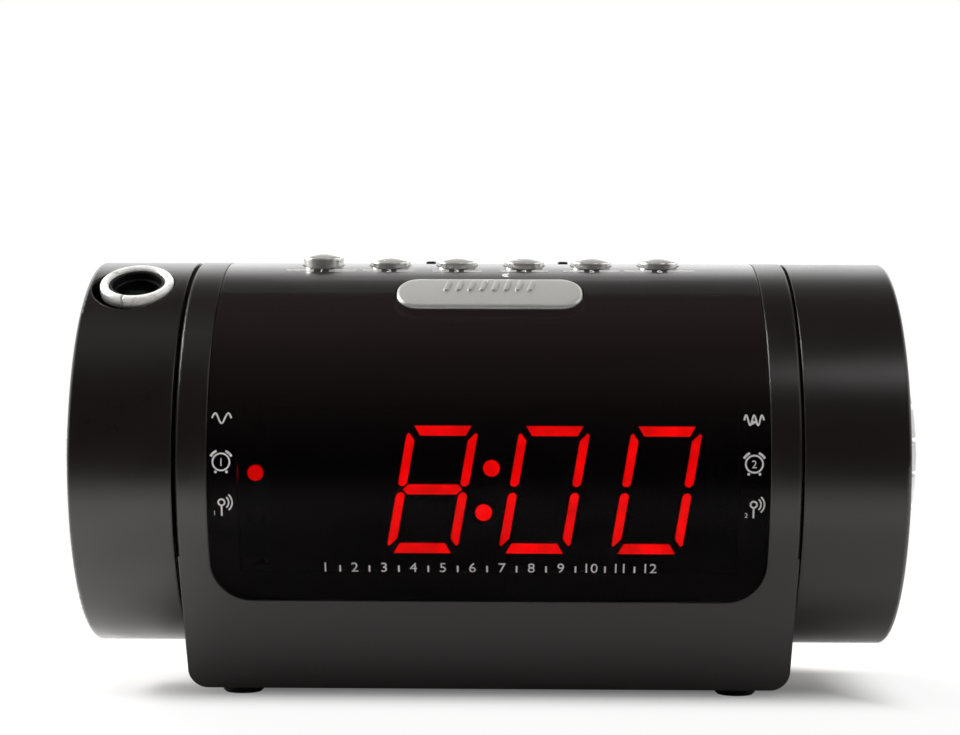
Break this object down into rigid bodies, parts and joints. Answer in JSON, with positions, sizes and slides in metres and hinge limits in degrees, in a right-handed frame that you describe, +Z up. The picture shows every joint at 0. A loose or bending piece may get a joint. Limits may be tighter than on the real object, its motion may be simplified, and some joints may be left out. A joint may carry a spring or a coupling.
{
  "type": "projection alarm clock",
  "caption": "Barrel-shaped clock radio on a base block, with a red LED display behind a curved window, a turning projector drum, top keys, a snooze bar and a loudspeaker drum.",
  "frame": {"origin": "on the resting surface, under the middle of the clock", "axes": "+X to the clock's right as its user sees it, along the barrel; -Y out of the display; +Z up"},
  "size_m": [0.2148, 0.0964, 0.1102],
  "materials": {
    "black_abs": "moulded ABS, fine satin",
    "black_panel": "moulded ABS, satin, a little lighter",
    "smoked_acrylic": "polished smoked acrylic",
    "silver_paint": "silver paint with clear lacquer on ABS",
    "black_pom": "moulded acetal",
    "felt": "pressed felt",
    "clear_acrylic": "polished acrylic",
    "lcd_glass": "LCD glass with polariser",
    "white_board": "white solder resist",
    "green_board": "green solder resist on glass-fibre laminate",
    "black_switch": "moulded PBT and epoxy",
    "display_black": "black reflector face",
    "red_lit": "diffused red epoxy, lit",
    "red_unlit": "diffused epoxy, unlit",
    "tinned_steel": "tinned sheet steel",
    "core_steel": "varnished silicon-steel laminations",
    "copper_winding": "enamelled copper wire",
    "ferrite": "sintered ferrite",
    "cloth": "black speaker cloth",
    "cone_paper": "black pressed paper pulp",
    "cell_steel": "sleeved steel can",
    "black_rubber": "moulded rubber",
    "screw_steel": "zinc-plated steel"
  },
  "bodies": {
    "cabinet": {"front_housing": "black_abs", "rear_housing": "black_abs", "base_plate": "black_abs", "button_panel": "black_panel", "display_window": "smoked_acrylic", "drum_bearing_plate": "black_pom", "speaker_end_plate": "black_abs", "friction_washer": "felt", "key_board": "green_board", "snooze_board": "green_board", "tact_switches": "black_switch", "latch_switch": "black_switch", "led_display": "display_black", "lit_segments": "red_lit", "unlit_segments": "red_unlit", "alarm_light": "red_lit", "indicator_lights": "red_unlit", "display_board": "green_board", "main_board": "green_board", "board_parts": "black_switch", "tuner_can": "tinned_steel", "transformer_core": "core_steel", "transformer_winding": "copper_winding", "ferrite_rod": "ferrite", "aerial_coil": "copper_winding", "speaker_housing": "black_abs", "speaker_grille": "silver_paint", "grille_cloth": "cloth", "speaker_basket": "tinned_steel", "speaker_magnet": "ferrite", "speaker_cone": "cone_paper", "battery_contacts": "tinned_steel", "backup_cells": "cell_steel", "cord_gland": "black_rubber", "aerial_grommet": "black_rubber", "rubber_feet": "black_rubber", "case_screws": "screw_steel", "board_screws": "screw_steel", "speaker_screws": "screw_steel"},
    "projector_drum": {"projector_drum": "black_abs", "drum_hub": "black_pom", "drum_end_disc": "silver_paint", "drum_retainer": "black_pom", "projector_tube": "black_pom", "time_slide": "lcd_glass", "condenser_lens": "clear_acrylic", "projector_led": "white_board", "drum_screws": "screw_steel"},
    "focus_ring": {"focus_ring": "black_pom", "ring_trim": "silver_paint"},
    "lens_carrier": {"lens_barrel": "black_pom", "projector_lens": "clear_acrylic"},
    "snooze_bar": {"snooze_bar": "silver_paint"},
    "projection_button": {"projection_button": "silver_paint"},
    "alarm_1_button": {"alarm_1_button": "silver_paint"},
    "alarm_2_button": {"alarm_2_button": "silver_paint"},
    "minute_button": {"minute_button": "silver_paint"},
    "hour_button": {"hour_button": "silver_paint"},
    "time_button": {"time_button": "silver_paint"},
    "battery_door": {"battery_door": "black_abs"}
  },
  "joints": [
    {"name": "drum_turn", "type": "hinge", "parent": "cabinet", "child": "projector_drum", "pos_m": [-0.0743, 0, 0.0593], "axis": [1, 0, 0], "range_deg": [-120, 60]},
    {"name": "focus_turn", "type": "hinge", "parent": "projector_drum", "child": "focus_ring", "pos_m": [-0.0867, -0.02185, 0.09714], "axis": [0, -0.5, 0.866], "range_deg": [-60.01, 60.01]},
    {"name": "lens_travel", "type": "slide", "parent": "projector_drum", "child": "lens_carrier", "axis": [0, -0.5, 0.866], "range_m": [-0.0008, 0.0008]},
    {"name": "projection_press", "type": "slide", "parent": "cabinet", "child": "projection_button", "axis": [0, 0.1736, -0.9848], "range_m": [0, 0.0015], "stiffness_N_per_m": 800},
    {"name": "alarm_1_press", "type": "slide", "parent": "cabinet", "child": "alarm_1_button", "axis": [0, 0.1736, -0.9848], "range_m": [0, 0.0005], "stiffness_N_per_m": 2500},
    {"name": "alarm_2_press", "type": "slide", "parent": "cabinet", "child": "alarm_2_button", "axis": [0, 0.1736, -0.9848], "range_m": [0, 0.0005], "stiffness_N_per_m": 2500},
    {"name": "minute_press", "type": "slide", "parent": "cabinet", "child": "minute_button", "axis": [0, 0.1736, -0.9848], "range_m": [0, 0.0005], "stiffness_N_per_m": 2500},
    {"name": "hour_press", "type": "slide", "parent": "cabinet", "child": "hour_button", "axis": [0, 0.1736, -0.9848], "range_m": [0, 0.0005], "stiffness_N_per_m": 2500},
    {"name": "time_press", "type": "slide", "parent": "cabinet", "child": "time_button", "axis": [0, 0.1736, -0.9848], "range_m": [0, 0.0005], "stiffness_N_per_m": 2500},
    {"name": "snooze_press", "type": "slide", "parent": "cabinet", "child": "snooze_bar", "axis": [0, 0.5664, -0.8241], "range_m": [0, 0.0005], "stiffness_N_per_m": 4000},
    {"name": "battery_door_swing", "type": "hinge", "parent": "cabinet", "child": "battery_door", "pos_m": [0, -0.008, 0.00305], "axis": [-1, 0, 0], "range_deg": [0, 45]}
  ],
  "couplings": [
    {"joint": "focus_turn", "follows": "lens_travel", "rad_per_m": 1309}
  ]
}
